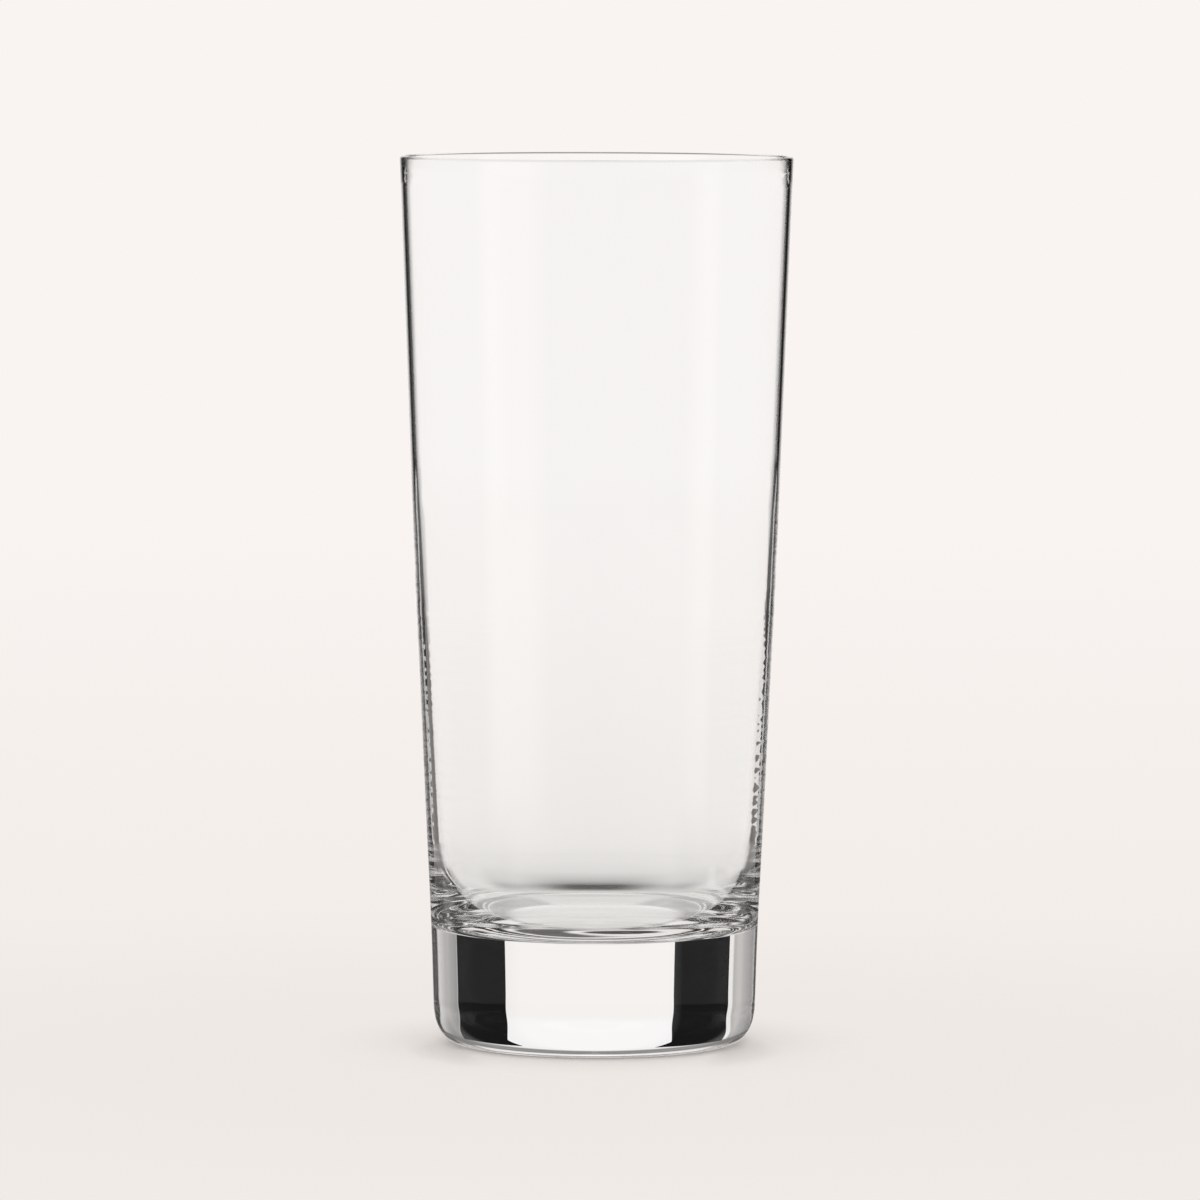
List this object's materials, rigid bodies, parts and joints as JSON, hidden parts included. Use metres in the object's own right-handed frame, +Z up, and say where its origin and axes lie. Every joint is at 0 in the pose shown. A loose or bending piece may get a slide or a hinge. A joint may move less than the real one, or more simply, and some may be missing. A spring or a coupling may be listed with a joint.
{
  "type": "highball glass",
  "caption": "Tall tapered highball drinking glass in clear glass, with a thin rounded rim, a wall that thickens downwards, and a thick solid foot.",
  "frame": {"origin": "middle of the underside, at the level of the table that the glass stands on", "axes": "+Z up along the glass's axis, towards the rim; the glass is round, so X and Y are alike"},
  "size_m": [0.0636, 0.0636, 0.144],
  "materials": {
    "clear_glass": "clear, fire polished, colourless"
  },
  "bodies": {
    "root": {"tumbler": "clear_glass"}
  },
  "joints": []
}
